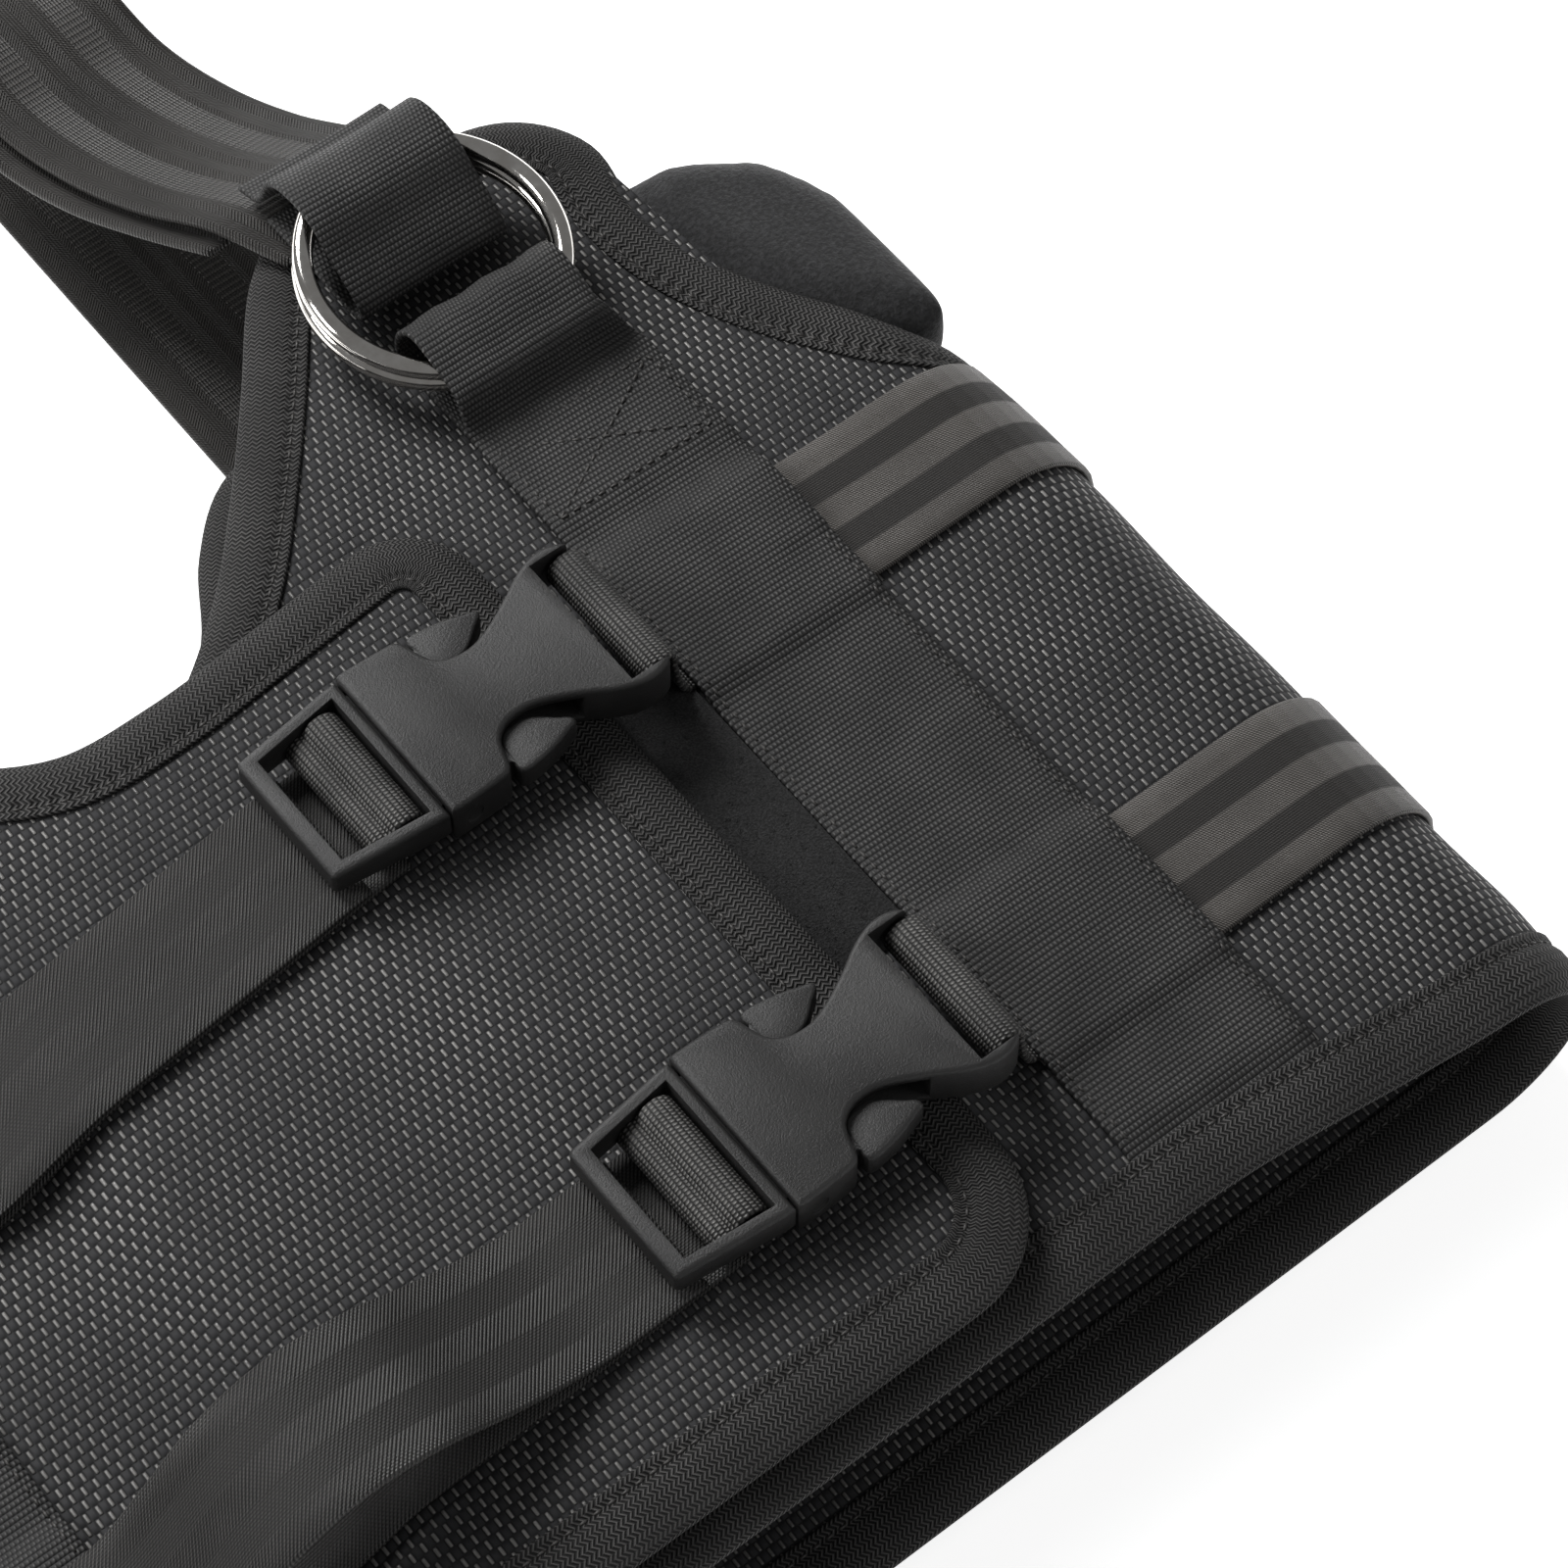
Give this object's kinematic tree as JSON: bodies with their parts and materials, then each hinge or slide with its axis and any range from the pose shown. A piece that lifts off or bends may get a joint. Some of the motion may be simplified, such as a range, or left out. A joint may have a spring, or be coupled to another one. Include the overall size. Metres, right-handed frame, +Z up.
{
  "type": "padded safety harness vest",
  "caption": "Padded torso vest with an overlapping front flap, side release buckles on belts, shoulder strap loops and stacked steel rings on each front shoulder.",
  "frame": {"origin": "under the middle of the vest, on the surface it lies on", "axes": "+X to the wearer's left, +Y from the hem to the shoulder loops, +Z up from the back panel to the front, the vest lying on its back"},
  "size_m": [0.4538, 0.4832, 0.0909],
  "materials": {
    "woven": "coarse two-tone woven nylon",
    "foam": "soft padding, inside the cover",
    "fleece": "short felted pile",
    "binding": "ribbed bias tape",
    "webbing": "fine plain weave webbing, matt",
    "band": "satin webbing with lengthwise stripes",
    "strap": "herringbone webbing, slight sheen",
    "fastener": "touch fastener loops and hooks",
    "steel": "bright nickel plate",
    "acetal": "satin moulded plastic"
  },
  "bodies": {
    "vest": {"wrap_shell": "woven", "wrap_lining": "woven", "wrap_foam": "foam", "armhole_roll_left": "fleece", "armhole_roll_right": "fleece", "binding_hem": "binding", "binding_flap": "binding", "binding_neck_left": "binding", "binding_neck_back": "binding", "binding_armhole_left": "binding", "binding_armhole_right": "binding", "loop_strip": "fastener", "hook_strip": "fastener", "front_webbing_left": "webbing", "front_webbing_right": "webbing", "ring_tape_left": "webbing", "ring_tape_right": "webbing", "shoulder_strap_left": "strap", "shoulder_strap_right": "strap", "shoulder_strap_lining_left": "strap", "shoulder_strap_lining_right": "strap", "side_band_upper": "band", "side_band_lower": "band", "buckle_socket_upper": "acetal", "socket_tape_upper": "webbing", "belt_upper": "band", "belt_tail_upper": "band", "buckle_socket_lower": "acetal", "socket_tape_lower": "webbing", "belt_lower": "band", "belt_tail_lower": "band"},
    "left_lower_ring": {"ring_left_lower": "steel"},
    "left_upper_ring": {"ring_left_upper": "steel"},
    "right_lower_ring": {"ring_right_lower": "steel"},
    "right_upper_ring": {"ring_right_upper": "steel"},
    "upper_plug": {"buckle_plug_upper": "acetal", "plug_tape_upper": "webbing"},
    "upper_high_latch": {"latch_upper_high": "acetal"},
    "upper_low_latch": {"latch_upper_low": "acetal"},
    "lower_plug": {"buckle_plug_lower": "acetal", "plug_tape_lower": "webbing"},
    "lower_high_latch": {"latch_lower_high": "acetal"},
    "lower_low_latch": {"latch_lower_low": "acetal"}
  },
  "joints": [
    {"name": "left_lower_ring_turn", "type": "hinge", "parent": "vest", "child": "left_lower_ring", "pos_m": [0.13, 0.0588, 0.067], "axis": [0, -0.1736, 0.9848], "continuous": true},
    {"name": "left_upper_ring_turn", "type": "hinge", "parent": "vest", "child": "left_upper_ring", "pos_m": [0.13, 0.05786, 0.07232], "axis": [0, -0.1736, 0.9848], "continuous": true},
    {"name": "right_lower_ring_turn", "type": "hinge", "parent": "vest", "child": "right_lower_ring", "pos_m": [-0.13, 0.0588, 0.067], "axis": [0, -0.1736, 0.9848], "continuous": true},
    {"name": "right_upper_ring_turn", "type": "hinge", "parent": "vest", "child": "right_upper_ring", "pos_m": [-0.13, 0.05786, 0.07232], "axis": [0, -0.1736, 0.9848], "continuous": true},
    {"name": "upper_plug_slide", "type": "slide", "parent": "vest", "child": "upper_plug", "axis": [-1, 0, 0], "range_m": [0, 0.045], "deforming": ["latch_upper_high", "latch_upper_low", "belt_upper", "belt_tail_upper"]},
    {"name": "upper_high_latch_press", "type": "hinge", "parent": "upper_plug", "child": "upper_high_latch", "pos_m": [0.0463, -0.0334, 0.0732], "axis": [0, 0, 1], "range_deg": [-6, 0], "stiffness_Nm_per_rad": 0.2},
    {"name": "upper_low_latch_press", "type": "hinge", "parent": "upper_plug", "child": "upper_low_latch", "pos_m": [0.0463, -0.065, 0.0732], "axis": [0, 0, 1], "range_deg": [0, 6], "stiffness_Nm_per_rad": 0.2},
    {"name": "lower_plug_slide", "type": "slide", "parent": "vest", "child": "lower_plug", "axis": [-1, 0, 0], "range_m": [0, 0.045], "deforming": ["latch_lower_high", "latch_lower_low", "belt_lower", "belt_tail_lower"]},
    {"name": "lower_high_latch_press", "type": "hinge", "parent": "lower_plug", "child": "lower_high_latch", "pos_m": [0.0463, -0.1524, 0.0732], "axis": [0, 0, 1], "range_deg": [-6, 0], "stiffness_Nm_per_rad": 0.2},
    {"name": "lower_low_latch_press", "type": "hinge", "parent": "lower_plug", "child": "lower_low_latch", "pos_m": [0.0463, -0.184, 0.0732], "axis": [0, 0, 1], "range_deg": [0, 6], "stiffness_Nm_per_rad": 0.2}
  ],
  "couplings": [
    {"joint": "upper_low_latch_press", "follows": "upper_high_latch_press", "ratio": -1},
    {"joint": "lower_low_latch_press", "follows": "lower_high_latch_press", "ratio": -1}
  ]
}
